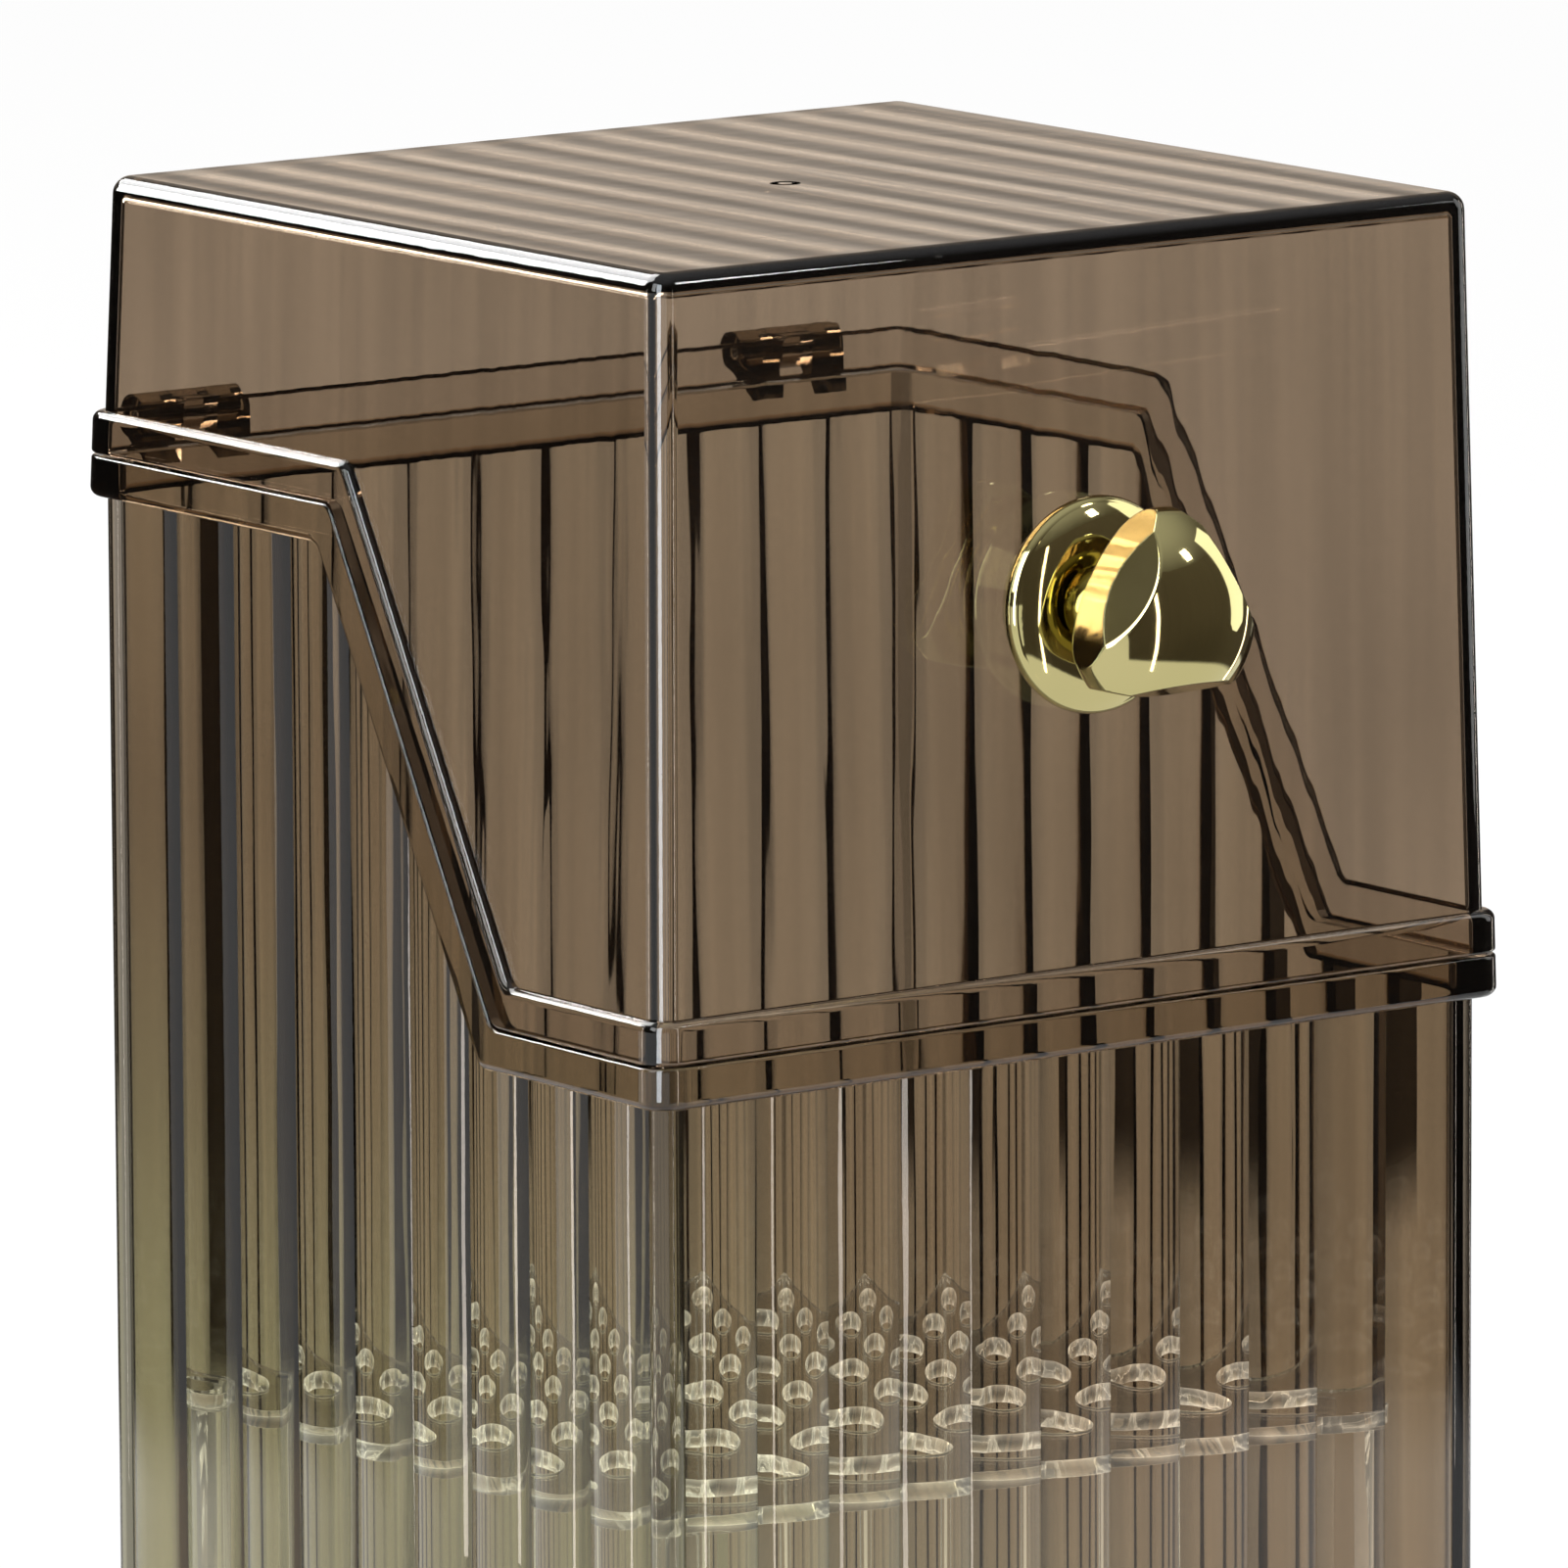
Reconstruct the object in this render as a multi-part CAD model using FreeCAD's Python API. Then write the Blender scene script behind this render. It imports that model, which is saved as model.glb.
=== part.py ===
import FreeCAD, Part
import math
import os

from FreeCAD import Vector

# Lidded box for makeup brushes.
# Millimetres. +X to the right, +Y to the back, +Z up.
# The origin is the centre of the flat underside of the tub.

# Overall size
TOTAL_HEIGHT = 230.0
LID_TOP_WIDTH = 140.0
LID_TOP_DEPTH = 133.4

# Lid hood
SIDE_DRAFT_DEG = 1.05
FRONT_DRAFT_DEG = 1.15
BACK_DRAFT_DEG = 3.1
LID_WALL = 2.4
LID_TOP_THICKNESS = 2.8
LID_CORNER_RADIUS = 3.2
LID_TOP_EDGE_RADIUS = 2.6
LID_INNER_CORNER_RADIUS = 1.2
LID_INNER_EDGE_RADIUS = 1.0
TOP_WAVE_COUNT = 11
TOP_WAVE_HEIGHT = 0.7
TOP_WAVE_MARGIN = 4.0
GATE_DIMPLE_RADIUS = 2.2
GATE_DIMPLE_DEPTH = 0.4
GATE_NUB_RADIUS = 1.0

# Parting line between lid and tub, high at the back and low at the front
REAR_PARTING_HEIGHT = 190.4
FRONT_PARTING_HEIGHT = 122.4
STEP_TOP_Y = 8.7
STEP_BOTTOM_Y = -31.4
STEP_BEND_RADIUS = 2.5
PARTING_GAP = 0.3

# Raised band on each side of the parting line
BAND_HEIGHT = 6.0
BAND_PROJECTION = 1.6
BAND_CORNER_RADIUS = 4.4
BAND_EDGE_RADIUS = 1.4
PARTING_EDGE_RADIUS = 0.5

# Reeded tub, its reeds set in from the line of the lid's walls
CREST_INSET_X = 0.57
CREST_INSET_Y = 0.76
BODY_WALL = 2.2
FLOOR_THICKNESS = 3.0
REED_RISE = 1.3
FRONT_REED_COUNT = 11
SIDE_REED_COUNT = 9
CORNER_COLUMN = 4.7
CAVITY_CORNER_RADIUS = 2.5
FOOT_HEIGHT = 2.0
FOOT_INSET = 1.6
FOOT_CORNER_RADIUS = 4.0
BAND_ROOT = 2.0

# Hinges
HINGE_FROM_SIDE = 18.5
HINGE_RISE = 4.0
KNUCKLE_LENGTH = 5.8
KNUCKLE_RADIUS = 3.0
KNUCKLE_SIDE_GAP = 0.2
KNUCKLE_BAND_GAP = 0.3
LID_WEB_HEIGHT = 2.4
BODY_WEB_DROP = 4.5
PIN_RADIUS = 1.0
PIN_FIT = 0.04
PIN_END_CHAMFER = 0.3

# Knob, built along its own axis, square to the front wall of the lid
KNOB_HEIGHT = 179.1
DISC_RADIUS = 15.1
DISC_FOOT_RADIUS = 13.0
DISC_RIM_HEIGHT = 3.8
DISC_RIM_RADIUS = 1.6
DISC_THICKNESS = 7.0
DOME_RISE = 1.2
HEAD_RADIUS = 15.0
HEAD_RIM_RADIUS = 4.5
HEAD_FRONT_HEIGHT = 9.8
HEAD_BACK_HEIGHT = 6.0
HEAD_CENTRE_OUT = 19.0
SIDE_DISTANCE = 10.8
SIDE_BULGE_RADIUS = 40.0
FACET_TILT_DEG = 19.0
FACET_START = 1.0
FACET_EDGE_RADIUS = 0.8
NECK_RADIUS = 4.5
SCREW_RADIUS = 2.0
SCREW_FIT = 0.1
SCREW_GRIP = 8.0
SCREW_HEAD_RADIUS = 3.9
SCREW_HEAD_HEIGHT = 2.2
SCREW_SLOT_WIDTH = 1.0
SCREW_SLOT_DEPTH = 1.1
WASHER_RADIUS = 5.0
WASHER_THICKNESS = 0.8

# Brush rack
RACK_WALL_GAP_X = 2.6
RACK_WALL_GAP_Y = 4.2
RACK_PLATE_TOP = 57.3
RACK_PLATE_THICKNESS = 2.5
RACK_CORNER_RADIUS = 5.0
RACK_FLOOR_GAP = 0.3
RACK_LEG_WIDTH = 9.0
RACK_LEG_THICKNESS = 2.0
RACK_LEG_INSET = 0.8
HOLE_RADIUS = 8.5
HOLE_COLUMNS = 5
HOLE_ROWS = 5
HOLE_EDGE_X = 16.3
HOLE_EDGE_Y = 14.4

# Values that follow from the sizes above
SIDE_DRAFT = math.tan(math.radians(SIDE_DRAFT_DEG))
FRONT_DRAFT = math.tan(math.radians(FRONT_DRAFT_DEG))
BACK_DRAFT = math.tan(math.radians(BACK_DRAFT_DEG))
HINGE_X = LID_TOP_WIDTH / 2 - HINGE_FROM_SIDE
FAR = 2 * TOTAL_HEIGHT


def lid_side(height):
    """Distance from the middle plane to the lid's side wall."""
    return LID_TOP_WIDTH / 2 + SIDE_DRAFT * (TOTAL_HEIGHT - height)


def lid_front(height):
    """Distance from the middle to the lid's front wall."""
    return LID_TOP_DEPTH / 2 + FRONT_DRAFT * (TOTAL_HEIGHT - height)


def lid_back(height):
    """Distance from the middle to the lid's back wall."""
    return LID_TOP_DEPTH / 2 + BACK_DRAFT * (TOTAL_HEIGHT - height)


BODY_HALF_X = lid_side(FRONT_PARTING_HEIGHT) - CREST_INSET_X
BODY_HALF_Y = lid_front(FRONT_PARTING_HEIGHT) - CREST_INSET_Y
CAVITY_HALF_X = BODY_HALF_X - REED_RISE - BODY_WALL
CAVITY_HALF_Y = BODY_HALF_Y - REED_RISE - BODY_WALL
HINGE_Z = REAR_PARTING_HEIGHT + HINGE_RISE
BAND_BACK = lid_back(REAR_PARTING_HEIGHT) + BAND_PROJECTION
HINGE_Y = BAND_BACK + KNUCKLE_BAND_GAP + KNUCKLE_RADIUS


def rounded_wire(points, radii):
    """Closed wire through corner points, each corner rounded by its own radius."""
    count = len(points)
    corners = []
    for index in range(count):
        here = points[index]
        before = (points[index - 1] - here).normalize()
        after = (points[(index + 1) % count] - here).normalize()
        radius = radii[index]
        if radius <= 0:
            corners.append((here, None, here))
            continue
        half_angle = before.getAngle(after) / 2
        reach = radius / math.tan(half_angle)
        centre = here + (before + after).normalize() * (radius / math.sin(half_angle))
        middle = centre + (here - centre).normalize() * radius
        corners.append((here + before * reach, middle, here + after * reach))
    edges = []
    for index in range(count):
        start, middle, end = corners[index]
        if middle is not None:
            edges.append(Part.Arc(start, middle, end).toShape())
        following = corners[(index + 1) % count][0]
        if end.distanceToPoint(following) > 1e-6:
            edges.append(Part.LineSegment(end, following).toShape())
    return Part.Wire(edges)


def rectangle_wire(half_x, half_y, radius, height):
    points = [
        Vector(-half_x, -half_y, height),
        Vector(half_x, -half_y, height),
        Vector(half_x, half_y, height),
        Vector(-half_x, half_y, height),
    ]
    return rounded_wire(points, [radius] * 4)


def straight_block(half_x, half_y, radius, low, high):
    face = Part.Face(rectangle_wire(half_x, half_y, radius, low))
    return face.extrude(Vector(0, 0, high - low))


def drafted_block(margin, radius, low, high):
    """Block with the lid's drafts, standing margin outside the lid's outer walls."""
    sections = []
    for height in (low, high):
        sections.append((lid_side(height) + margin, lid_front(height) + margin, lid_back(height) + margin))
    wide, slim = sections
    block = Part.makeWedge(
        -wide[0], low, -wide[2], -slim[2], -slim[0],
        wide[0], high, wide[1], slim[1], slim[0],
    )
    block.rotate(Vector(0, 0, 0), Vector(1, 0, 0), 90)
    corners = [edge for edge in block.Edges if edge.BoundBox.ZLength > (high - low) / 2]
    return block.makeFillet(radius, corners)


def box(low, high):
    size = high - low
    return Part.makeBox(size.x, size.y, size.z, low)


def cylinder_x(radius, x_low, x_high, y, z):
    return Part.makeCylinder(radius, x_high - x_low, Vector(x_low, y, z), Vector(1, 0, 0))


# Stepped parting line

def offset_line(offset):
    """The parting line moved by offset towards the lid, as front, two bends and back."""
    run = STEP_TOP_Y - STEP_BOTTOM_Y
    rise = REAR_PARTING_HEIGHT - FRONT_PARTING_HEIGHT
    slope_angle = math.atan2(rise, run)
    shift = offset * math.tan(slope_angle / 2)
    return [
        Vector(0, -FAR, FRONT_PARTING_HEIGHT + offset),
        Vector(0, STEP_BOTTOM_Y - shift, FRONT_PARTING_HEIGHT + offset),
        Vector(0, STEP_TOP_Y - shift, REAR_PARTING_HEIGHT + offset),
        Vector(0, FAR, REAR_PARTING_HEIGHT + offset),
    ]


def stepped_slab(lower_offset, upper_offset):
    """Everything between two stepped lines, across the whole width."""
    lower = offset_line(lower_offset)
    upper = offset_line(upper_offset)
    points = lower + upper[::-1]
    radii = [0, STEP_BEND_RADIUS, STEP_BEND_RADIUS, 0] * 2
    face = Part.Face(rounded_wire(points, radii))
    face.translate(Vector(-FAR, 0, 0))
    return face.extrude(Vector(2 * FAR, 0, 0))


def band_ring(free_offset, parting_offset):
    """Solid band region, with its free outer edge well rounded and its parting edge eased."""
    low = FRONT_PARTING_HEIGHT - 2 * BAND_HEIGHT
    block = drafted_block(BAND_PROJECTION, BAND_CORNER_RADIUS, low, TOTAL_HEIGHT)
    lower_offset, upper_offset = sorted((free_offset, parting_offset))
    band = block.common(stepped_slab(lower_offset, upper_offset))
    for offset, radius in ((free_offset, BAND_EDGE_RADIUS), (parting_offset, PARTING_EDGE_RADIUS)):
        line = offset_line(offset)
        edges = [edge for edge in band.Edges if lies_on_line(edge, line)]
        band = band.makeFillet(radius, edges)
    return band


def lies_on_line(edge, line):
    """True for an edge whose middle and ends all lie near the given stepped line."""
    first, last = edge.ParameterRange
    samples = [edge.valueAt(first + (last - first) * share) for share in (0.1, 0.5, 0.9)]
    return all(distance_to_line(point, line) < STEP_BEND_RADIUS / 2 for point in samples)


def distance_to_line(point, line):
    flat = Vector(0, point.y, point.z)
    distances = []
    for start, end in zip(line, line[1:]):
        along = end - start
        share = (flat - start).dot(along) / along.dot(along)
        nearest = start + along * min(max(share, 0.0), 1.0)
        distances.append(flat.distanceToPoint(nearest))
    return min(distances)


# Hinge knuckles

def web(points, x_low, x_high):
    """Plate between two X positions through points of the YZ plane."""
    corners = [Vector(x_low, y, z) for y, z in points]
    face = Part.Face(Part.makePolygon(corners + [corners[0]]))
    return face.extrude(Vector(x_high - x_low, 0, 0))


def lid_knuckle(x_low, x_high):
    """Round knuckle held out from the lid's band by a short web with a sloping top."""
    root = BAND_BACK - BAND_PROJECTION
    points = [
        (root, HINGE_Z - KNUCKLE_RADIUS / 2),
        (HINGE_Y, HINGE_Z - KNUCKLE_RADIUS / 2),
        (HINGE_Y + KNUCKLE_RADIUS / 2, HINGE_Z + KNUCKLE_RADIUS * 0.8),
        (root, HINGE_Z + LID_WEB_HEIGHT),
    ]
    round_part = cylinder_x(KNUCKLE_RADIUS, x_low, x_high, HINGE_Y, HINGE_Z)
    return web(points, x_low, x_high).fuse(round_part)


def body_knuckle(x_low, x_high):
    """Round knuckle that stands up behind the lid's band on a web from the tub's band."""
    root = BAND_BACK - BAND_PROJECTION
    rim = REAR_PARTING_HEIGHT - PARTING_GAP / 2
    points = [
        (root, rim),
        (HINGE_Y - KNUCKLE_RADIUS, rim),
        (HINGE_Y - KNUCKLE_RADIUS, HINGE_Z),
        (HINGE_Y + KNUCKLE_RADIUS, HINGE_Z),
        (root, rim - BODY_WEB_DROP),
    ]
    round_part = cylinder_x(KNUCKLE_RADIUS, x_low, x_high, HINGE_Y, HINGE_Z)
    return web(points, x_low, x_high).fuse(round_part)


def lid_knuckles():
    half = KNUCKLE_LENGTH / 2
    return [lid_knuckle(centre - half, centre + half) for centre in (-HINGE_X, HINGE_X)]


def body_knuckles():
    inner = KNUCKLE_LENGTH / 2 + KNUCKLE_SIDE_GAP
    outer = inner + KNUCKLE_LENGTH
    pieces = []
    for centre in (-HINGE_X, HINGE_X):
        pieces.append(body_knuckle(centre - outer, centre - inner))
        pieces.append(body_knuckle(centre + inner, centre + outer))
    return pieces


def pin_bores():
    reach = 2 * KNUCKLE_LENGTH
    radius = PIN_RADIUS + PIN_FIT
    return [
        cylinder_x(radius, centre - reach, centre + reach, HINGE_Y, HINGE_Z)
        for centre in (-HINGE_X, HINGE_X)
    ]


def hinge_pin(centre):
    half = 1.5 * KNUCKLE_LENGTH + KNUCKLE_SIDE_GAP
    pin = cylinder_x(PIN_RADIUS, centre - half, centre + half, HINGE_Y, HINGE_Z)
    ends = [edge for edge in pin.Edges if len(edge.Vertexes) == 1]
    return pin.makeChamfer(PIN_END_CHAMFER, ends)


# Tub

def reeded_side(start, end, outward, count):
    """Edges of one side: a row of arcs that bulge outward by the reed rise."""
    step = (end - start) * (1.0 / count)
    edges = []
    for index in range(count):
        first = start + step * index
        crest = first + step * 0.5 + outward * REED_RISE
        edges.append(Part.Arc(first, crest, first + step).toShape())
    return edges


def reeded_wire(height):
    valley_x = BODY_HALF_X - REED_RISE
    valley_y = BODY_HALF_Y - REED_RISE
    end_x = BODY_HALF_X - CORNER_COLUMN
    end_y = BODY_HALF_Y - CORNER_COLUMN
    column_inset = CORNER_COLUMN * (1 - math.sqrt(0.5))
    column_x = BODY_HALF_X - column_inset
    column_y = BODY_HALF_Y - column_inset
    edges = []
    for quarter in range(4):
        across = quarter % 2 == 0
        length = end_x if across else end_y
        valley = valley_y if across else valley_x
        count = FRONT_REED_COUNT if across else SIDE_REED_COUNT
        turn = FreeCAD.Rotation(Vector(0, 0, 1), 90 * quarter)
        start = turn.multVec(Vector(-length, -valley, height))
        end = turn.multVec(Vector(length, -valley, height))
        edges += reeded_side(start, end, turn.multVec(Vector(0, -1, 0)), count)
        column = Vector(column_x, column_y, 0) if across else Vector(column_y, column_x, 0)
        middle = turn.multVec(Vector(column.x, -column.y, height))
        next_length = end_y if across else end_x
        next_valley = valley_x if across else valley_y
        next_turn = FreeCAD.Rotation(Vector(0, 0, 1), 90 * (quarter + 1))
        following = next_turn.multVec(Vector(-next_length, -next_valley, height))
        edges.append(Part.Arc(end, middle, following).toShape())
    return Part.Wire(edges)


def make_body_shell():
    top = REAR_PARTING_HEIGHT
    reeds = Part.Face(reeded_wire(FOOT_HEIGHT)).extrude(Vector(0, 0, top - FOOT_HEIGHT))
    reeds = reeds.common(stepped_slab(-FAR, BAND_ROOT - BAND_HEIGHT - PARTING_GAP / 2))
    foot_x = BODY_HALF_X - FOOT_INSET
    foot_y = BODY_HALF_Y - FOOT_INSET
    foot = straight_block(foot_x, foot_y, FOOT_CORNER_RADIUS, 0, FOOT_HEIGHT + FLOOR_THICKNESS / 2)
    free = -BAND_HEIGHT - PARTING_GAP / 2
    band = band_ring(free, -PARTING_GAP / 2)
    shell = reeds.fuse([foot, band] + body_knuckles())
    cavity = straight_block(CAVITY_HALF_X, CAVITY_HALF_Y, CAVITY_CORNER_RADIUS, FLOOR_THICKNESS, FAR)
    shell = shell.cut([cavity] + pin_bores())
    return shell.removeSplitter()


# Lid

def make_lid_shell():
    low = FRONT_PARTING_HEIGHT - BAND_HEIGHT
    outer = drafted_block(0, LID_CORNER_RADIUS, low, TOTAL_HEIGHT)
    outer = outer.makeFillet(LID_TOP_EDGE_RADIUS, edges_at_height(outer, TOTAL_HEIGHT))
    outer = outer.common(stepped_slab(PARTING_GAP / 2, FAR))
    free = BAND_HEIGHT + PARTING_GAP / 2
    band = band_ring(free, PARTING_GAP / 2)
    shell = outer.fuse([band] + lid_knuckles())
    shell = shell.cut([lid_cavity(low), knob_hole()] + pin_bores() + [gate_dimple()])
    return shell.fuse(gate_nub()).removeSplitter()


def edges_at_height(shape, height):
    return [edge for edge in shape.Edges if abs(edge.BoundBox.ZMin - height) < 1e-6]


def lid_cavity(low):
    """Hollow of the lid: drafted walls, a rounded ceiling edge and a waved slab left standing."""
    ceiling = TOTAL_HEIGHT - LID_TOP_THICKNESS
    hollow = drafted_block(-LID_WALL, LID_INNER_CORNER_RADIUS, low, ceiling)
    hollow = hollow.makeFillet(LID_INNER_EDGE_RADIUS, edges_at_height(hollow, ceiling))
    return hollow.cut(top_waves(ceiling))


def top_waves(ceiling):
    """Slab under the top whose lower face rolls in even waves that run from front to back."""
    half_x = lid_side(ceiling) - LID_WALL - TOP_WAVE_MARGIN
    half_y = lid_front(ceiling) - LID_WALL - TOP_WAVE_MARGIN
    middle = ceiling - TOP_WAVE_HEIGHT / 2
    start = Vector(-half_x, -half_y, middle)
    half_wave = Vector(half_x / TOP_WAVE_COUNT, 0, 0)
    edges = []
    for index in range(2 * TOP_WAVE_COUNT):
        swing = -TOP_WAVE_HEIGHT / 2 if index % 2 == 0 else TOP_WAVE_HEIGHT / 2
        first = start + half_wave * index
        turn = first + half_wave * 0.5 + Vector(0, 0, swing)
        edges.append(Part.Arc(first, turn, first + half_wave).toShape())
    rise = Vector(0, 0, LID_TOP_THICKNESS / 2)
    end = Vector(half_x, -half_y, middle)
    edges.append(Part.LineSegment(end, end + rise).toShape())
    edges.append(Part.LineSegment(end + rise, start + rise).toShape())
    edges.append(Part.LineSegment(start + rise, start).toShape())
    return Part.Face(Part.Wire(edges)).extrude(Vector(0, 2 * half_y, 0))


def gate_dimple():
    base = Vector(0, 0, TOTAL_HEIGHT - GATE_DIMPLE_DEPTH)
    return Part.makeCylinder(GATE_DIMPLE_RADIUS, 2 * GATE_DIMPLE_DEPTH, base)


def gate_nub():
    base = Vector(0, 0, TOTAL_HEIGHT - 2 * GATE_DIMPLE_DEPTH)
    return Part.makeCylinder(GATE_NUB_RADIUS, 2 * GATE_DIMPLE_DEPTH, base)


# Knob

def on_lid_front(shape):
    """Move a piece built along +Z from the origin onto the lid's front wall, square to it."""
    placed = shape.copy()
    turn = FreeCAD.Rotation(Vector(1, 0, 0), 90 - FRONT_DRAFT_DEG)
    seat = Vector(0, -lid_front(KNOB_HEIGHT), KNOB_HEIGHT)
    placed.Placement = FreeCAD.Placement(seat, turn)
    return placed


def wall_through_knob():
    """Thickness of the lid's wall along the knob's axis."""
    return LID_WALL * math.cos(math.radians(FRONT_DRAFT_DEG))


def knob_hole():
    depth = 3 * LID_WALL
    hole = Part.makeCylinder(SCREW_RADIUS + SCREW_FIT, 2 * depth, Vector(0, 0, -depth))
    return on_lid_front(hole)


def revolved(points_and_arcs):
    face = Part.Face(Part.Wire(points_and_arcs))
    return face.revolve(Vector(0, 0, 0), Vector(0, 0, 1), 360)


def make_knob_base_disc():
    """Round button: a narrow foot on the wall, a tight rim and a domed face."""
    inner = SCREW_RADIUS + SCREW_FIT
    foot = Vector(DISC_FOOT_RADIUS, 0, 0)
    rim_centre = Vector(DISC_RADIUS - DISC_RIM_RADIUS, 0, DISC_RIM_HEIGHT)
    crown = Vector(NECK_RADIUS, 0, DISC_THICKNESS)
    rim_low = rim_centre + Vector(1, 0, -1).normalize() * DISC_RIM_RADIUS
    rim_out = rim_centre + Vector(1, 0, 0) * DISC_RIM_RADIUS
    rim_high = rim_centre + Vector(1, 0, 2).normalize() * DISC_RIM_RADIUS
    chord = crown - rim_high
    bulge = rim_high + chord * 0.5 + Vector(-chord.z, 0, chord.x).normalize() * (-DOME_RISE)
    outline = [
        Part.LineSegment(Vector(inner, 0, 0), foot).toShape(),
        Part.LineSegment(foot, rim_low).toShape(),
        Part.Arc(rim_low, rim_out, rim_high).toShape(),
        Part.Arc(rim_high, bulge, crown).toShape(),
        Part.LineSegment(crown, Vector(inner, 0, DISC_THICKNESS)).toShape(),
        Part.LineSegment(Vector(inner, 0, DISC_THICKNESS), Vector(inner, 0, 0)).toShape(),
    ]
    return on_lid_front(revolved(outline))


def dome_arc(height, side):
    """Middle and rim-side end of the arc from the pebble's pole to its rim, on one side."""
    out = HEAD_RADIUS - HEAD_RIM_RADIUS
    rim = HEAD_RIM_RADIUS
    dome = (out * out + height * height - rim * rim) / (2 * (height - rim))
    dome_centre = Vector(0, 0, HEAD_CENTRE_OUT + side * (height - dome))
    rim_centre = Vector(out, 0, HEAD_CENTRE_OUT)
    join_way = (rim_centre - dome_centre).normalize()
    middle_way = (join_way + Vector(0, 0, side)).normalize()
    return dome_centre + middle_way * dome, dome_centre + join_way * dome


def pebble():
    """Turned pebble: a high front dome, a tight rim and a low back dome."""
    front_middle, front_join = dome_arc(HEAD_FRONT_HEIGHT, 1)
    back_middle, back_join = dome_arc(HEAD_BACK_HEIGHT, -1)
    tip = Vector(0, 0, HEAD_CENTRE_OUT + HEAD_FRONT_HEIGHT)
    base = Vector(0, 0, HEAD_CENTRE_OUT - HEAD_BACK_HEIGHT)
    rim_point = Vector(HEAD_RADIUS, 0, HEAD_CENTRE_OUT)
    outline = [
        Part.Arc(base, back_middle, back_join).toShape(),
        Part.Arc(back_join, rim_point, front_join).toShape(),
        Part.Arc(front_join, front_middle, tip).toShape(),
        Part.LineSegment(tip, base).toShape(),
    ]
    return revolved(outline)


def bulged_side(turn_deg):
    """Big cylinder whose near wall is one of the pebble's three slightly bulging sides."""
    low = HEAD_CENTRE_OUT - 2 * HEAD_BACK_HEIGHT
    cylinder = Part.makeCylinder(
        SIDE_BULGE_RADIUS, 4 * HEAD_FRONT_HEIGHT,
        Vector(0, SIDE_BULGE_RADIUS - SIDE_DISTANCE, low),
    )
    cylinder.rotate(Vector(0, 0, 0), Vector(0, 0, 1), turn_deg)
    return cylinder


def facet_block(turn_deg):
    """Block to cut away, its flat face leaning in towards the front from just before the rim."""
    size = 4 * HEAD_RADIUS
    block = Part.makeBox(size, size, size, Vector(-size / 2, -size, 0))
    block.rotate(Vector(0, 0, 0), Vector(1, 0, 0), -FACET_TILT_DEG)
    block.translate(Vector(0, -SIDE_DISTANCE, HEAD_CENTRE_OUT + FACET_START))
    block.rotate(Vector(0, 0, 0), Vector(0, 0, 1), turn_deg)
    return block


def edges_off_axis(shape):
    """Edges of a turned and cut shape, without those that reach its axis."""
    edges = []
    for edge in shape.Edges:
        reach = min(math.hypot(vertex.Point.x, vertex.Point.y) for vertex in edge.Vertexes)
        if reach > NECK_RADIUS / 2 and edge.Length > FACET_EDGE_RADIUS:
            edges.append(edge)
    return edges


def make_knob_head():
    """Pebble with three bulging sides and three flat facets, standing on its neck."""
    head = pebble()
    for turn_deg in (0, 120, 240):
        head = head.common(bulged_side(turn_deg))
    for turn_deg in (0, 120, 240):
        head = head.cut(facet_block(turn_deg))
    head = head.makeFillet(FACET_EDGE_RADIUS, edges_off_axis(head))
    neck_length = HEAD_CENTRE_OUT - DISC_THICKNESS
    neck = Part.makeCylinder(NECK_RADIUS, neck_length, Vector(0, 0, DISC_THICKNESS))
    bore_depth = SCREW_GRIP + 1.0
    bore = Part.makeCylinder(SCREW_RADIUS + SCREW_FIT, bore_depth, Vector(0, 0, DISC_THICKNESS))
    return on_lid_front(head.fuse(neck).cut(bore).removeSplitter())


def make_knob_washer():
    low = -wall_through_knob() - WASHER_THICKNESS
    ring = Part.makeCylinder(WASHER_RADIUS, WASHER_THICKNESS, Vector(0, 0, low))
    hole = Part.makeCylinder(SCREW_RADIUS + SCREW_FIT, WASHER_THICKNESS, Vector(0, 0, low))
    return on_lid_front(ring.cut(hole))


def make_knob_screw():
    """Pan head screw from inside the lid, through washer, wall and disc into the neck."""
    seat = -wall_through_knob() - WASHER_THICKNESS
    end = DISC_THICKNESS + SCREW_GRIP
    shank = Part.makeCylinder(SCREW_RADIUS, end - seat, Vector(0, 0, seat))
    head = Part.makeCylinder(SCREW_HEAD_RADIUS, SCREW_HEAD_HEIGHT, Vector(0, 0, seat - SCREW_HEAD_HEIGHT))
    rim = edges_at_height(head, seat - SCREW_HEAD_HEIGHT)
    head = head.makeFillet(SCREW_HEAD_HEIGHT * 0.4, rim)
    bottom = seat - SCREW_HEAD_HEIGHT
    screw = shank.fuse(head)
    for length_x, length_y in ((1, 0), (0, 1)):
        reach_x = SCREW_HEAD_RADIUS * 0.6 if length_x else SCREW_SLOT_WIDTH / 2
        reach_y = SCREW_HEAD_RADIUS * 0.6 if length_y else SCREW_SLOT_WIDTH / 2
        low = Vector(-reach_x, -reach_y, bottom - 1)
        high = Vector(reach_x, reach_y, bottom + SCREW_SLOT_DEPTH)
        screw = screw.cut(box(low, high))
    return on_lid_front(screw.removeSplitter())


# Brush rack

def hole_centres(half_x, half_y):
    """Middles of the brush holes, spread evenly over the plate."""
    pitch_x = 2 * (half_x - HOLE_EDGE_X) / (HOLE_COLUMNS - 1)
    pitch_y = 2 * (half_y - HOLE_EDGE_Y) / (HOLE_ROWS - 1)
    centres = []
    for row in range(HOLE_ROWS):
        for column in range(HOLE_COLUMNS):
            x = (column - (HOLE_COLUMNS - 1) / 2) * pitch_x
            y = (row - (HOLE_ROWS - 1) / 2) * pitch_y
            centres.append(Vector(x, y, 0))
    return centres


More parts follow.
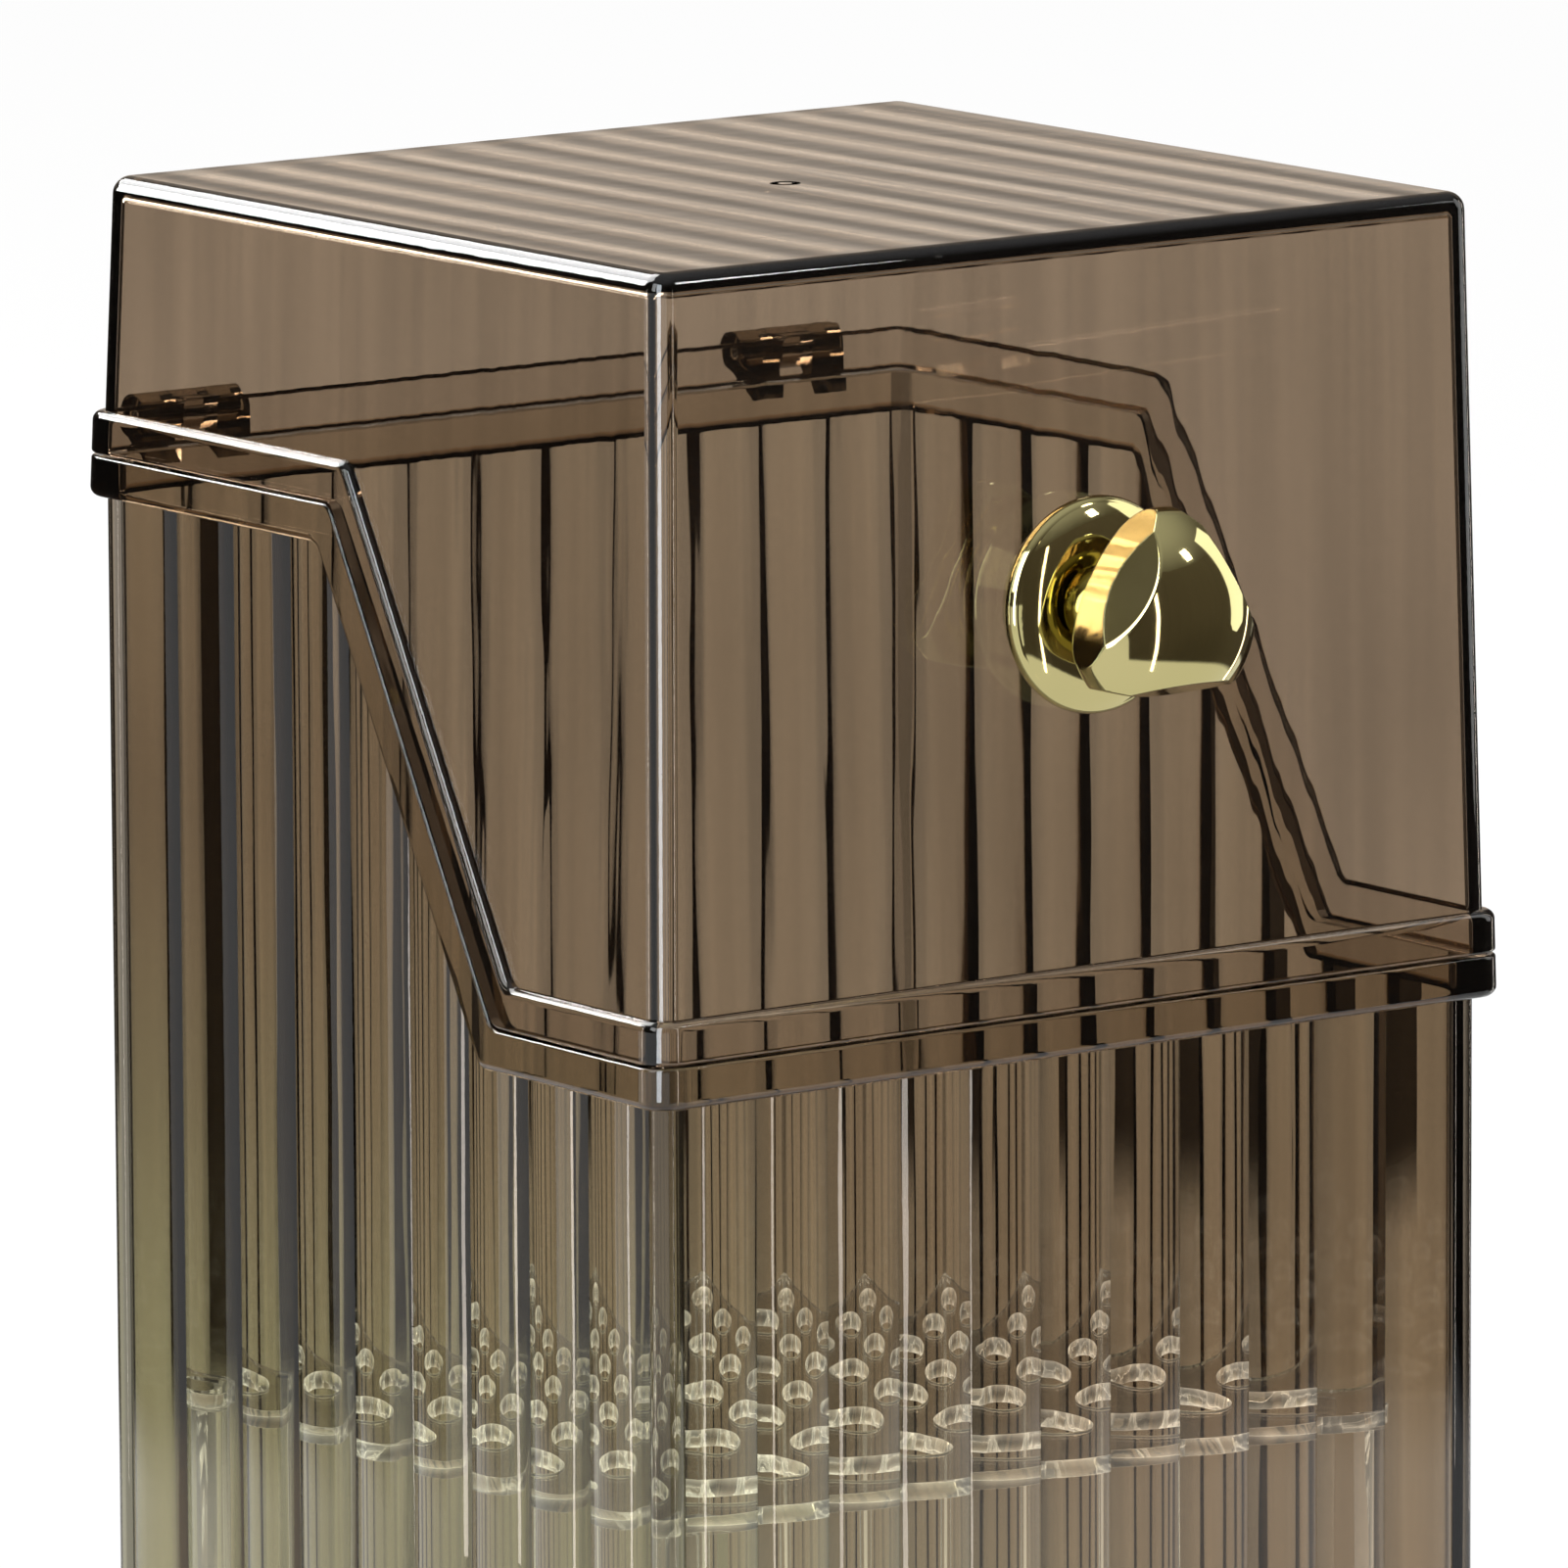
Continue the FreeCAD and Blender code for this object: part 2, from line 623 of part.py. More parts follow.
def rack_leg(half_x, half_y, bottom, top):
    """Corner leg of angle section, inside the plate's front right corner."""
    outer_x = half_x - RACK_LEG_INSET
    outer_y = half_y - RACK_LEG_INSET
    points = [
        Vector(outer_x, -outer_y, bottom),
        Vector(outer_x, -outer_y + RACK_LEG_WIDTH, bottom),
        Vector(outer_x - RACK_LEG_THICKNESS, -outer_y + RACK_LEG_WIDTH, bottom),
        Vector(outer_x - RACK_LEG_THICKNESS, -outer_y + RACK_LEG_THICKNESS, bottom),
        Vector(outer_x - RACK_LEG_WIDTH, -outer_y + RACK_LEG_THICKNESS, bottom),
        Vector(outer_x - RACK_LEG_WIDTH, -outer_y, bottom),
    ]
    outer_radius = RACK_CORNER_RADIUS - RACK_LEG_INSET
    inner_radius = outer_radius - RACK_LEG_THICKNESS
    wire = rounded_wire(points, [outer_radius, 0, 0, inner_radius, 0, 0])
    return Part.Face(wire).extrude(Vector(0, 0, top - bottom))


def make_brush_rack():
    half_x = CAVITY_HALF_X - RACK_WALL_GAP_X
    half_y = CAVITY_HALF_Y - RACK_WALL_GAP_Y
    plate_bottom = RACK_PLATE_TOP - RACK_PLATE_THICKNESS
    plate = straight_block(half_x, half_y, RACK_CORNER_RADIUS, plate_bottom, RACK_PLATE_TOP)
    leg = rack_leg(half_x, half_y, FLOOR_THICKNESS + RACK_FLOOR_GAP, plate_bottom)
    mirror_x = leg.mirror(Vector(0, 0, 0), Vector(1, 0, 0))
    legs = [leg, mirror_x]
    legs += [piece.mirror(Vector(0, 0, 0), Vector(0, 1, 0)) for piece in (leg, mirror_x)]
    holes = []
    for centre in hole_centres(half_x, half_y):
        low = centre + Vector(0, 0, plate_bottom - RACK_PLATE_THICKNESS)
        holes.append(Part.makeCylinder(HOLE_RADIUS, 3 * RACK_PLATE_THICKNESS, low))
    rack = plate.fuse(legs).cut(holes)
    return rack.removeSplitter()


PIECES = {
    "body_shell": make_body_shell,
    "lid_shell": make_lid_shell,
    "hinge_pin_left": lambda: hinge_pin(-HINGE_X),
    "hinge_pin_right": lambda: hinge_pin(HINGE_X),
    "knob_base_disc": make_knob_base_disc,
    "knob_head": make_knob_head,
    "knob_washer": make_knob_washer,
    "knob_screw": make_knob_screw,
    "brush_rack": make_brush_rack,
}


def main():
    os.makedirs("parts", exist_ok=True)
    for name, make in PIECES.items():
        shape = make()
        if isinstance(shape, Part.Compound) and len(shape.Solids) == 1:
            shape = shape.Solids[0]
        shape.exportStep("parts/" + name + ".step")
        size = shape.BoundBox
        print(name, "solids", len(shape.Solids), "valid", shape.isValid(), "volume", round(shape.Volume),
              "box", [round(value, 2) for value in (size.XMin, size.YMin, size.ZMin)],
              [round(value, 2) for value in (size.XMax, size.YMax, size.ZMax)])


main()
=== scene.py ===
import math

import bpy
from mathutils import Matrix, Vector


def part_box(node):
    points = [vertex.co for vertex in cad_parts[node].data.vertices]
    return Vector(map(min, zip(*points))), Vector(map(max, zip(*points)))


# Looks of the lidded brush box: smoky clear plastic, gold knob, clear rack.
# Metres, in the frame of the model: +Z up, the knob on the -Y side.

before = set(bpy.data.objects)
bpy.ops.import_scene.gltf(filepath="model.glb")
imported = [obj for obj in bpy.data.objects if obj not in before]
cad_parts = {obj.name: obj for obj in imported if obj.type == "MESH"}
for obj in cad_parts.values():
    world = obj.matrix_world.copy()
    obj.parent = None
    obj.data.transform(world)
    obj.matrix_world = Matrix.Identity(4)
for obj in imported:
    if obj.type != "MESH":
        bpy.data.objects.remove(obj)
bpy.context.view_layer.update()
LID_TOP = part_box("lid_shell")[1].z
RACK_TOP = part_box("brush_rack")[1].z

# The photograph's camera
LENS = 369.13
SENSOR = 36.0
VIEW_END = 100.0
CAMERA_PLACE = Vector((-1.31891, -1.80419, 0.52291))
CAMERA_YAW = math.radians(36.153)
CAMERA_PITCH = math.radians(-9.607)
CAMERA_ROLL = -0.0050

# Colours, as linear red, green and blue
SMOKE_LID = (0.76, 0.69, 0.61)
SMOKE_TUB = (0.77, 0.70, 0.59)
# Painted reflection: the olive of the tub's foot
OLIVE_PAINTED_REFLECTION = (0.89, 0.93, 0.75)
CLEAR = (0.98, 0.99, 0.98)
# Painted glow on the rack's edges, from faint to pale
GLOW_FAINT = (0.01, 0.01, 0.01)
GLOW_PALE = (1.0, 1.0, 0.96)
GOLD = (0.54, 0.47, 0.23)
GOLD_DEEP = (0.48, 0.44, 0.19)
STEEL = (0.62, 0.62, 0.63)
STEEL_PALE = (0.74, 0.74, 0.75)
PAPER = (0.85, 0.85, 0.84)
SCREEN_CLOTH = (0.03, 0.022, 0.015)

# Noise scales below are per metre. A stretch below 1 draws the noise out along that axis.

# Plastic: its refraction, and how much of each colour the smoky kind soaks up per metre
PLASTIC_IOR = 1.49
SMOKE_SOAK = (125.0, 150.0, 180.0)

# Uneven tint of the plastic: clouds times upright streaks, from the darkest to the palest
CLOUD_NOISE = 9.0
STREAK_NOISE = 210.0
STREAK_DETAIL = 3.0
STREAK_STRETCH = (1, 1, 0.02)
TINT_RANGE = (0.72, 1.62)

# Painted reflection at the tub's foot, olive: heights where it begins to turn and has turned into the
# smoky tint, both at the middle, and how much higher they lie to the left and lower to the right, per
# metre
FOOT_HEIGHTS = (-0.023, 0.082)
PAINTED_REFLECTION_LEAN = 1.05

# Surface of the plastic: patches of roughness, and the height of its upright flow marks
PATCH_NOISE = 60.0
PLASTIC_ROUGHNESS = (0.0, 0.03)
FLOW_NOISE = 130.0
FLOW_STRETCH = (1, 1, 0.08)
TUB_RIPPLE = 0.00008
LID_RIPPLE = 0.00005
RACK_RIPPLE = 0.00002

# Painted shade in the grooves between the reeds: the lean of the wall at which they darken, and what is
# left of the tint
GROOVE_LEAN = (0.20, 0.36)
GROOVE_SHADE_LEFT = 0.45

# Painted glow on the rack's edges and walls, standing in for highlights: its strength, the shares of
# edges and of walls, and the thickness of the plate
EDGE_STRENGTH = 1.5
EDGE_SHARE = 6.0
WALL_SHARE = 0.05
PLATE_DEPTH = 0.0026

# Rounded edges of the rack: radius, steps, the turn from which an edge is rounded, and the distance
# within which two points are joined first
RACK_ROUNDING = 0.0007
ROUNDING_STEPS = 2
SHARP_TURN = math.radians(50)
JOIN_DISTANCE = 0.00001

# Waves on the lid's top: pitch and height, how far they drift, in radians, how they fade, and how
# far below the top they end
WAVE_PITCH = 0.0114
WAVE_HEIGHT = 0.00007
WAVE_DRIFT = 4.0
DRIFT_NOISE = 45.0
DRIFT_STRETCH = (1, 0.15, 1)
FADE_NOISE = 70.0
FADE_STRETCH = (1, 0.2, 1)
FADE_RANGE = (0.0, 2.0)
WAVE_DEPTH = 0.0002

# Gold: noise of its tint, its polish and its relief, and the height of the relief
GOLD_TINT_NOISE = 40.0
GOLD_POLISH_NOISE = 300.0
GOLD_ROUGHNESS = (0.03, 0.09)
GOLD_RELIEF_NOISE = 90.0
GOLD_RELIEF = 0.00006

# Steel: its fine streaks, drawn out along one axis
STEEL_NOISE = 4000.0
STEEL_DETAIL = 4.0
STEEL_STRETCH = 0.05
STEEL_ROUGHNESS = (0.18, 0.34)
STEEL_RELIEF = 0.00001
ALONG_X = 0
ALONG_Y = 1

# Floor: half its side, and the share of plain white where the camera or a mirror sees it
FLOOR_HALF = 15.0
FLOOR_WHITE = 0.96

# Room that the plastic and the gold mirror: its tones, the way to the bright wall, and the cosines
# between which a part of it comes in
ROOM_DARK = (0.10, 0.085, 0.07)
ROOM_WALL_LOW = (0.80, 0.68, 0.56)
ROOM_WALL_HIGH = (0.40, 0.34, 0.28)
ROOM_CEILING = (0.60, 0.60, 0.60)
WALL_WAY = (0.58, 0.80, 0.10)
WALL_RIM = (0.55, 0.92)
LOW_WALL_RIM = (-0.26, -0.05)
CEILING_RIM = (0.5, 1.0)
UP = (0, 0, 1)
DOWN = (0, 0, -1)

# Dark screens: distance, first and last direction in degrees, height. They are bent in steps and
# fade in at their foot.
FLAGS = {
    "flag_front": (0.31, -118, -6, 0.36),
    "flag_back_left": (0.27, 84, 150, 0.25),
    "flag_back_right": (0.42, -2, 32, 0.34),
}
FLAG_STEPS = 16
FLAG_FOOT = 0.002
FLAG_FADE = 0.02
FLAG_ROUGHNESS = 0.9

# Lamps: place, what they point at, width and height, watts, colour, and if they are far off
WHITE = (1.0, 1.0, 1.0)
COOL = (0.86, 0.93, 1.0)
WARM = (1.0, 0.90, 0.80)
LAMPS = {
    "back_softbox": ((-0.30, 1.05, 1.25), (0, 0, 0.15), (1.3, 1.1), 40.0, WHITE, True),
    "window_left": ((-1.6, -0.2, 1.1), (0, 0, 0.12), (0.7, 1.2), 14.0, WHITE, True),
    "edge_panel": ((-0.53, 0.96, 0.62), (-0.07, 0, 0.23), (0.35, 0.45), 8.0, WHITE, True),
    "corner_softbox": ((-0.37, -0.26, 0.30), (0, 0, 0.2), (0.12, 0.5), 2.2, COOL, False),
    "right_softbox": ((0.25, -0.137, 0.25), (0, 0, 0.2), (0.10, 0.30), 0.19, WHITE, False),
    "small_window": ((0.30, -0.42, 0.62), (0, 0, 0.17), (0.07, 0.09), 0.4, WHITE, False),
}

# Upright strip lamps near the box, mirrored as thin lines in the reeds: their directions in degrees
STRIPS = {"strip_left": 168, "strip_front": -98, "strip_right": -14}
STRIP_DISTANCE = 0.25
STRIP_LEVEL = 0.155
STRIP_SIZE = (0.009, 0.30)
STRIP_POWER = 0.07


# Nodes

def cleared(owner, output_kind):
    """Node tree of a material or world with its output alone, and that output."""
    owner.use_nodes = True
    tree = owner.node_tree
    tree.nodes.clear()
    return tree, tree.nodes.new(output_kind)


def new_material(name):
    material = bpy.data.materials.new(name)
    tree, output = cleared(material, "ShaderNodeOutputMaterial")
    shader = tree.nodes.new("ShaderNodeBsdfPrincipled")
    tree.links.new(shader.outputs["BSDF"], output.inputs["Surface"])
    return material, tree, shader


def set_or_link(tree, socket, value):
    """Links another node's output to the socket, or sets it to a number or a colour."""
    if isinstance(value, bpy.types.NodeSocket):
        tree.links.new(value, socket)
    elif isinstance(value, tuple):
        socket.default_value = (*value, 1)
    else:
        socket.default_value = value


def object_space(tree, stretch=(1, 1, 1)):
    place = tree.nodes.new("ShaderNodeTexCoord")
    mapping = tree.nodes.new("ShaderNodeMapping")
    mapping.inputs["Scale"].default_value = stretch
    tree.links.new(place.outputs["Object"], mapping.inputs["Vector"])
    return mapping.outputs["Vector"]


def parts_of(tree, vector):
    """The outputs X, Y and Z of a vector."""
    split = tree.nodes.new("ShaderNodeSeparateXYZ")
    tree.links.new(vector, split.inputs["Vector"])
    return split.outputs


def noise(tree, vector, scale, detail=2.0):
    texture = tree.nodes.new("ShaderNodeTexNoise")
    texture.inputs["Scale"].default_value = scale
    texture.inputs["Detail"].default_value = detail
    tree.links.new(vector, texture.inputs["Vector"])
    return texture.outputs["Fac"]


def spread(tree, value, first, last):
    """Goes evenly from first to last as the value goes from 0 to 1."""
    node = tree.nodes.new("ShaderNodeMapRange")
    node.inputs["To Min"].default_value = first
    node.inputs["To Max"].default_value = last
    tree.links.new(value, node.inputs["Value"])
    return node.outputs["Result"]


def smooth_step(tree, value, low, high, first=0.0, last=1.0):
    """Goes softly from first to last as the value goes from low to high."""
    node = tree.nodes.new("ShaderNodeMapRange")
    node.interpolation_type = "SMOOTHSTEP"
    node.inputs["From Min"].default_value = low
    node.inputs["From Max"].default_value = high
    node.inputs["To Min"].default_value = first
    node.inputs["To Max"].default_value = last
    tree.links.new(value, node.inputs["Value"])
    return node.outputs["Result"]


def calculated(tree, operation, *values):
    """Result of one Math node. Each value is a number or another node's output."""
    node = tree.nodes.new("ShaderNodeMath")
    node.operation = operation
    for socket, value in zip(node.inputs, values):
        set_or_link(tree, socket, value)
    return node.outputs["Value"]


def product(tree, total, *factors):
    for factor in factors:
        total = calculated(tree, "MULTIPLY", total, factor)
    return total


def blended(tree, share, first, second, way="MIX"):
    """Colour mix. Each colour is red, green and blue, or another node's output."""
    mix = tree.nodes.new("ShaderNodeMix")
    mix.data_type = "RGBA"
    mix.blend_type = way
    set_or_link(tree, mix.inputs["Factor"], share)
    set_or_link(tree, mix.inputs["A"], first)
    set_or_link(tree, mix.inputs["B"], second)
    return mix.outputs["Result"]


def bump(tree, shader, height, distance=1.0):
    """Relief on the surface, as high as height times distance, in metres."""
    node = tree.nodes.new("ShaderNodeBump")
    node.inputs["Strength"].default_value = 1.0
    node.inputs["Distance"].default_value = distance
    tree.links.new(height, node.inputs["Height"])
    tree.links.new(node.outputs["Normal"], shader.inputs["Normal"])


def facing(tree, way, target, low, high):
    """0 to 1 as a direction turns towards the target, between two cosines."""
    dot = tree.nodes.new("ShaderNodeVectorMath")
    dot.operation = "DOT_PRODUCT"
    dot.inputs[1].default_value = Vector(target).normalized()
    tree.links.new(way, dot.inputs[0])
    return smooth_step(tree, dot.outputs["Value"], low, high)


# Materials

def clear_plastic(name, tint, ripple, soak=None, foot=None, painted_grooves=False, waved=False):
    """Clear moulded plastic, uneven in tint. soak darkens it where it is thick, foot is a painted olive
    reflection low down, and on the reeded tub painted shade is put in the grooves.
    """
    material, tree, shader = new_material(name)
    shader.inputs["Transmission Weight"].default_value = 1.0
    shader.inputs["IOR"].default_value = PLASTIC_IOR
    if soak:
        soak_up(tree, soak)
    place = object_space(tree)
    spot = parts_of(tree, place)
    if foot:
        # Painted reflection: olive on the tub's foot, leaning to the left
        tint = painted_foot_reflection(tree, spot, foot, tint)
    shade = uneven_shade(tree, place)
    # Painted shade in the grooves between the reeds
    if painted_grooves:
        shade = product(tree, shade, groove_shade(tree))
    tree.links.new(blended(tree, 1.0, tint, shade, "MULTIPLY"), shader.inputs["Base Color"])
    patches = spread(tree, noise(tree, place, PATCH_NOISE), *PLASTIC_ROUGHNESS)
    tree.links.new(patches, shader.inputs["Roughness"])
    relief = product(tree, noise(tree, object_space(tree, FLOW_STRETCH), FLOW_NOISE), ripple)
    if waved:
        relief = calculated(tree, "ADD", relief, top_wave(tree, spot))
    bump(tree, shader, relief)
    return material


def soak_up(tree, soak):
    """Makes the plastic darker where light goes a longer way through it."""
    most = max(soak)
    depth = tree.nodes.new("ShaderNodeVolumeAbsorption")
    depth.inputs["Color"].default_value = (*[1 - rate / most for rate in soak], 1)
    depth.inputs["Density"].default_value = most
    tree.links.new(depth.outputs["Volume"], tree.nodes["Material Output"].inputs["Volume"])


def painted_foot_reflection(tree, spot, foot, tint):
    """Painted olive reflection low down and the plastic's tint above, on a slant."""
    height = calculated(tree, "ADD", spot["Z"], product(tree, spot["X"], PAINTED_REFLECTION_LEAN))
    return blended(tree, smooth_step(tree, height, *FOOT_HEIGHTS), foot, tint)


def uneven_shade(tree, place):
    clouds = noise(tree, place, CLOUD_NOISE)
    streaks = noise(tree, object_space(tree, STREAK_STRETCH), STREAK_NOISE, STREAK_DETAIL)
    return spread(tree, product(tree, clouds, streaks), *TINT_RANGE)


def groove_shade(tree):
    """Painted shade: 1 on walls that face straight out, darker where the reeds turn down into their
    grooves.
    """
    normal = parts_of(tree, tree.nodes.new("ShaderNodeTexCoord").outputs["Normal"])
    sideways = calculated(tree, "ABSOLUTE", normal["X"])
    forwards = calculated(tree, "ABSOLUTE", normal["Y"])
    lean = calculated(tree, "MINIMUM", sideways, forwards)
    return smooth_step(tree, lean, *GROOVE_LEAN, 1.0, GROOVE_SHADE_LEFT)


def top_wave(tree, spot):
    """Rolling relief on the lid's top, a little uneven, that follows the waves moulded under it."""
    drift = noise(tree, object_space(tree, DRIFT_STRETCH), DRIFT_NOISE)
    turn = product(tree, spot["X"], 2 * math.pi / WAVE_PITCH)
    turn = calculated(tree, "ADD", turn, product(tree, drift, WAVE_DRIFT))
    wave = calculated(tree, "COSINE", turn)
    on_top = calculated(tree, "GREATER_THAN", spot["Z"], LID_TOP - WAVE_DEPTH)
    fade = spread(tree, noise(tree, object_space(tree, FADE_STRETCH), FADE_NOISE), *FADE_RANGE)
    return product(tree, wave, on_top, fade, WAVE_HEIGHT)


def painted_edge_glow(material):
    """Painted highlights: pale glow on the rack's rounded edges and its plate's walls."""
    tree = material.node_tree
    shader = tree.nodes["Principled BSDF"]
    place = tree.nodes.new("ShaderNodeTexCoord")
    normal = parts_of(tree, place.outputs["Normal"])
    spot = parts_of(tree, place.outputs["Object"])
    on_plate = calculated(tree, "GREATER_THAN", spot["Z"], RACK_TOP - PLATE_DEPTH)
    upward = product(tree, normal["Z"], normal["Z"])
    upright = spread(tree, upward, 1.0, 0.0)
    edges = product(tree, upward, upright, EDGE_SHARE)
    walls = product(tree, upright, on_plate, WALL_SHARE)
    glow = blended(tree, calculated(tree, "ADD", edges, walls), GLOW_FAINT, GLOW_PALE)
    tree.links.new(glow, shader.inputs["Emission Color"])
    shader.inputs["Emission Strength"].default_value = EDGE_STRENGTH


def polished_gold(name):
    """Mirror-bright plating with a slightly uneven polish."""
    material, tree, shader = new_material(name)
    shader.inputs["Metallic"].default_value = 1.0
    place = object_space(tree)
    tint = blended(tree, noise(tree, place, GOLD_TINT_NOISE), GOLD, GOLD_DEEP)
    tree.links.new(tint, shader.inputs["Base Color"])
    polish = spread(tree, noise(tree, place, GOLD_POLISH_NOISE), *GOLD_ROUGHNESS)
    tree.links.new(polish, shader.inputs["Roughness"])
    bump(tree, shader, noise(tree, place, GOLD_RELIEF_NOISE), GOLD_RELIEF)
    return material


def plain_steel(name, streak_axis):
    """Drawn or turned steel with fine streaks."""
    material, tree, shader = new_material(name)
    shader.inputs["Metallic"].default_value = 1.0
    stretch = [1.0, 1.0, 1.0]
    stretch[streak_axis] = STEEL_STRETCH
    streaks = noise(tree, object_space(tree, stretch), STEEL_NOISE, STEEL_DETAIL)
    tree.links.new(blended(tree, streaks, STEEL, STEEL_PALE), shader.inputs["Base Color"])
    tree.links.new(spread(tree, streaks, *STEEL_ROUGHNESS), shader.inputs["Roughness"])
    bump(tree, shader, streaks, STEEL_RELIEF)
    return material


# Pieces

def dress(node_name, material):
    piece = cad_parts[node_name]
    piece.data.materials.clear()
    piece.data.materials.append(material)


def round_edges(node_name, radius):
    """Small rounding on the sharp edges, which catches the light as moulded edges do."""
    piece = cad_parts[node_name]
    weld = piece.modifiers.new("joined_faces", "WELD")
    weld.merge_threshold = JOIN_DISTANCE
    bevel = piece.modifiers.new("soft_edges", "BEVEL")
    bevel.width = radius
    bevel.segments = ROUNDING_STEPS
    bevel.limit_method = "ANGLE"
    bevel.angle_limit = SHARP_TURN
    bevel.harden_normals = True


def dress_pieces():
    # The tub gets a painted olive reflection at its foot and painted shade in its grooves
    tub = clear_plastic("smoky_plastic_tub", SMOKE_TUB, TUB_RIPPLE, SMOKE_SOAK, foot=OLIVE_PAINTED_REFLECTION, painted_grooves=True)
    lid = clear_plastic("smoky_plastic_lid", SMOKE_LID, LID_RIPPLE, SMOKE_SOAK, waved=True)
    clear = clear_plastic("clear_plastic_looks", CLEAR, RACK_RIPPLE)
    # Painted highlights: the rack's edges glow
    painted_edge_glow(clear)
    gold = polished_gold("gold_plating_looks")
    pin_steel = plain_steel("pin_steel_looks", ALONG_X)
    screw_steel = plain_steel("screw_steel_looks", ALONG_Y)
    round_edges("brush_rack", RACK_ROUNDING)
    dress("body_shell", tub)
    dress("lid_shell", lid)
    dress("brush_rack", clear)
    dress("knob_head", gold)
    dress("knob_base_disc", gold)
    dress("knob_screw", screw_steel)
    dress("knob_washer", screw_steel)
    dress("hinge_pin_left", pin_steel)
    dress("hinge_pin_right", pin_steel)


# Stage

def add_to_scene(name, data):
    thing = bpy.data.objects.new(name, data)
    bpy.context.scene.collection.objects.link(thing)
    return thing


def stage_mesh(name, corners, faces, material):
    mesh = bpy.data.meshes.new(name)
    mesh.from_pydata(corners, [], faces)
    mesh.materials.append(material)
    return add_to_scene(name, mesh)


def make_floor():
    half = FLOOR_HALF
    corners = [(-half, -half, 0), (half, -half, 0), (half, half, 0), (-half, half, 0)]
    floor = stage_mesh("floor", corners, [(0, 1, 2, 3)], floor_paper())


def floor_paper():
    """Pale paper, nearly plain white to the camera and in mirrors, with a trace of the shadow."""
    material = bpy.data.materials.new("floor_paper")
    tree, output = cleared(material, "ShaderNodeOutputMaterial")
    paper = tree.nodes.new("ShaderNodeBsdfDiffuse")
    paper.inputs["Color"].default_value = (*PAPER, 1)
    glow = tree.nodes.new("ShaderNodeEmission")
    glow.inputs["Strength"].default_value = 1.0
    mix = tree.nodes.new("ShaderNodeMixShader")
    tree.links.new(seen_directly(tree, FLOOR_WHITE), mix.inputs["Fac"])
    tree.links.new(paper.outputs["BSDF"], mix.inputs[1])
    tree.links.new(glow.outputs["Emission"], mix.inputs[2])
    tree.links.new(mix.outputs["Shader"], output.inputs["Surface"])
    return material


def seen_directly(tree, share):
    """share for camera, glossy and transmission rays, 0 for the rest."""
    path = tree.nodes.new("ShaderNodeLightPath").outputs
    total = calculated(tree, "MAXIMUM", path["Is Camera Ray"], path["Is Glossy Ray"])
    total = calculated(tree, "MAXIMUM", total, path["Is Transmission Ray"])
    return product(tree, total, share)


def make_world():
    """A dim studio with a warm bright wall behind the object and a pale ceiling."""
    world = bpy.data.worlds.new("studio")
    bpy.context.scene.world = world
    tree, output = cleared(world, "ShaderNodeOutputWorld")
    way = tree.nodes.new("ShaderNodeTexCoord").outputs["Generated"]
    low_wall = facing(tree, way, DOWN, *LOW_WALL_RIM)
    wall = blended(tree, low_wall, ROOM_WALL_HIGH, ROOM_WALL_LOW)
    room = blended(tree, facing(tree, way, WALL_WAY, *WALL_RIM), ROOM_DARK, wall)
    room = blended(tree, facing(tree, way, UP, *CEILING_RIM), room, ROOM_CEILING)
    background = tree.nodes.new("ShaderNodeBackground")
    tree.links.new(room, background.inputs["Color"])
    tree.links.new(background.outputs["Background"], output.inputs["Surface"])


